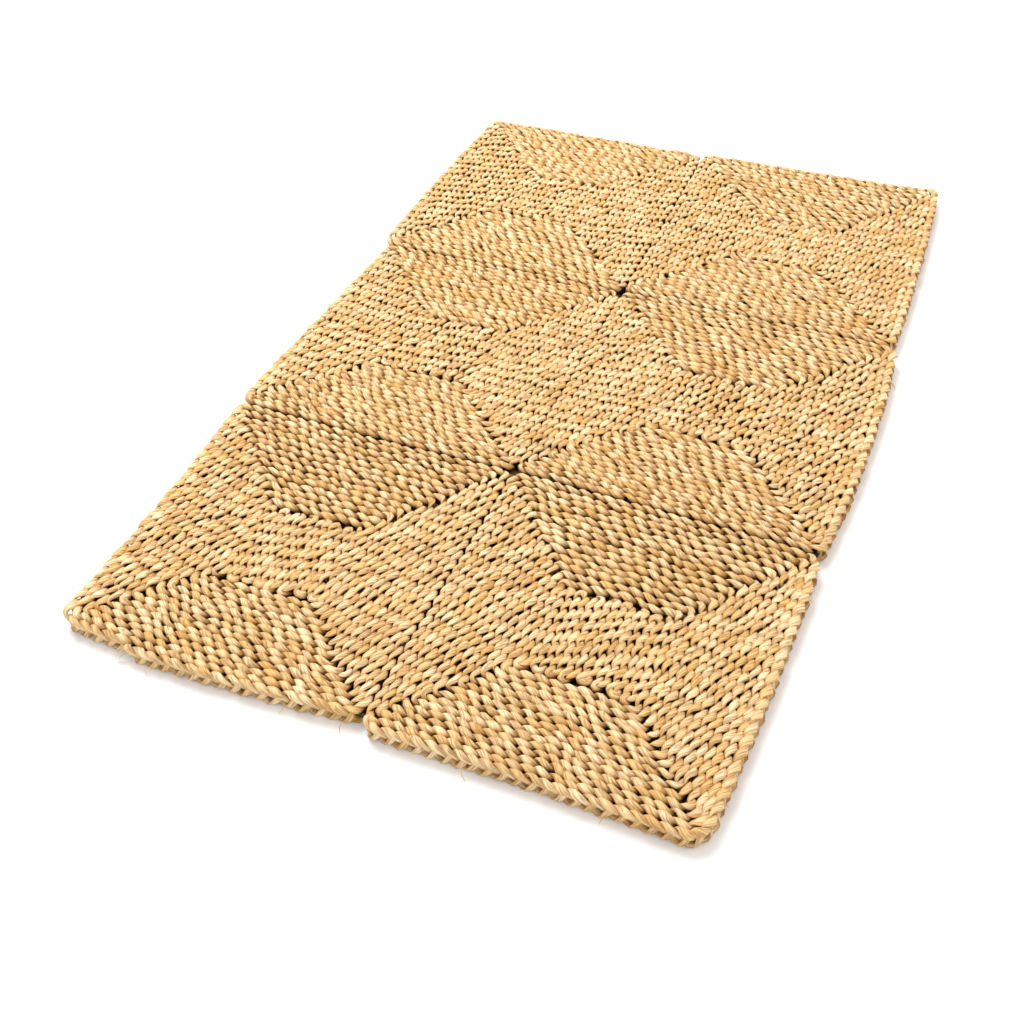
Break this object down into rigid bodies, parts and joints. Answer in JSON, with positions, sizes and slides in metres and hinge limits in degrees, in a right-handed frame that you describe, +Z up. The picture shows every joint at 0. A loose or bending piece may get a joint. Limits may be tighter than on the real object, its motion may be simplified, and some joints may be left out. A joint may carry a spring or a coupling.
{
  "type": "corn husk rug",
  "caption": "Flat rectangular rug of plaited corn husk, made of plaits wound into square spirals and sewn edge to edge.",
  "frame": {"origin": "on the floor, under the middle of the rug's box", "axes": "+X along the short side, to the right seen from the front; +Y along the long side, to the back; +Z up"},
  "size_m": [0.6008, 0.9003, 0.02],
  "materials": {
    "corn_husk": "satin"
  },
  "bodies": {
    "root": {"square_front_left": "corn_husk", "square_front_right": "corn_husk", "square_middle_left": "corn_husk", "square_middle_right": "corn_husk", "square_back_left": "corn_husk", "square_back_right": "corn_husk"}
  },
  "joints": []
}
